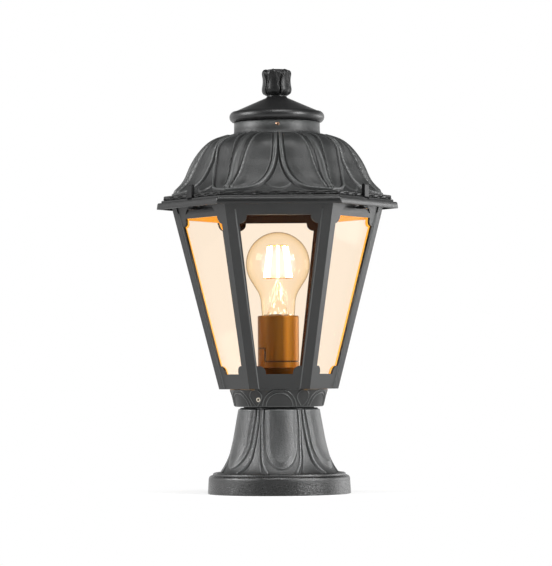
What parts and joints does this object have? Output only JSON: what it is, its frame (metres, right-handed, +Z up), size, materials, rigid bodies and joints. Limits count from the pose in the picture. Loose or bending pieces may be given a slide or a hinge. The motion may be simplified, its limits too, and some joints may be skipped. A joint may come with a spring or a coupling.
{
  "type": "hexagonal pedestal lantern",
  "caption": "Hexagonal lantern on a short round pedestal, with a leaf-carved hood held by three latches, amber panes and a screw-in lamp.",
  "frame": {"origin": "centre of the foot's underside", "axes": "+Z up, the front window faces -Y"},
  "size_m": [0.2272, 0.1968, 0.399],
  "materials": {
    "anthracite_resin": "fine moulded texture",
    "gloss_black": "gloss",
    "black_rubber": "matt",
    "ivory_plastic": "satin",
    "zinc_steel": "zinc plated",
    "amber_acrylic": "clear amber",
    "holder_brown": "satin",
    "white_ceramic": "matt",
    "brass": "plain",
    "clear_glass": "clear",
    "filament": "matt",
    "nickel": "nickel plated",
    "black_glass": "gloss",
    "brown_sleeve": "satin",
    "blue_sleeve": "satin"
  },
  "bodies": {
    "lantern": {"pedestal": "anthracite_resin", "neck_collar": "anthracite_resin", "lantern_frame": "anthracite_resin", "cable_grommet": "black_rubber", "terminal_block": "ivory_plastic", "terminal_screws": "zinc_steel", "block_screw": "zinc_steel", "collar_screws": "zinc_steel", "frame_screws": "zinc_steel", "plate_screws": "zinc_steel", "threaded_nipple": "zinc_steel", "nipple_nuts": "zinc_steel", "lampholder_plate": "anthracite_resin", "diffuser": "amber_acrylic", "lampholder_base": "holder_brown", "lampholder_skirt": "holder_brown", "lampholder_insert": "white_ceramic", "lampholder_shell": "brass", "centre_contact": "brass", "holder_terminals": "brass", "bulb_glass": "clear_glass", "bulb_stem": "clear_glass", "bulb_filaments": "filament", "bulb_wires": "zinc_steel", "bulb_cap": "nickel", "bulb_insulator": "black_glass", "bulb_contact": "nickel", "lead_live": "brown_sleeve", "lead_neutral": "blue_sleeve"},
    "hood": {"hood": "anthracite_resin", "hood_gasket": "black_rubber", "cap": "anthracite_resin", "cap_screws": "zinc_steel", "finial": "gloss_black", "finial_nut": "zinc_steel", "latch_pins": "zinc_steel"},
    "latch_1": {"latch_1": "gloss_black"},
    "latch_2": {"latch_2": "gloss_black"},
    "latch_3": {"latch_3": "gloss_black"}
  },
  "joints": [
    {"name": "hood_lift", "type": "slide", "parent": "lantern", "child": "hood", "axis": [0, 0, 1], "range_m": [0, 0.12]},
    {"name": "latch_1_hinge", "type": "hinge", "parent": "hood", "child": "latch_1", "pos_m": [0, 0.09176, 0.2721], "axis": [1, 0, 0], "range_deg": [0, 18]},
    {"name": "latch_2_hinge", "type": "hinge", "parent": "hood", "child": "latch_2", "pos_m": [-0.07946, -0.04588, 0.2721], "axis": [-0.5, 0.866, 0], "range_deg": [0, 18]},
    {"name": "latch_3_hinge", "type": "hinge", "parent": "hood", "child": "latch_3", "pos_m": [0.07946, -0.04588, 0.2721], "axis": [-0.5, -0.866, 0], "range_deg": [0, 18]}
  ]
}
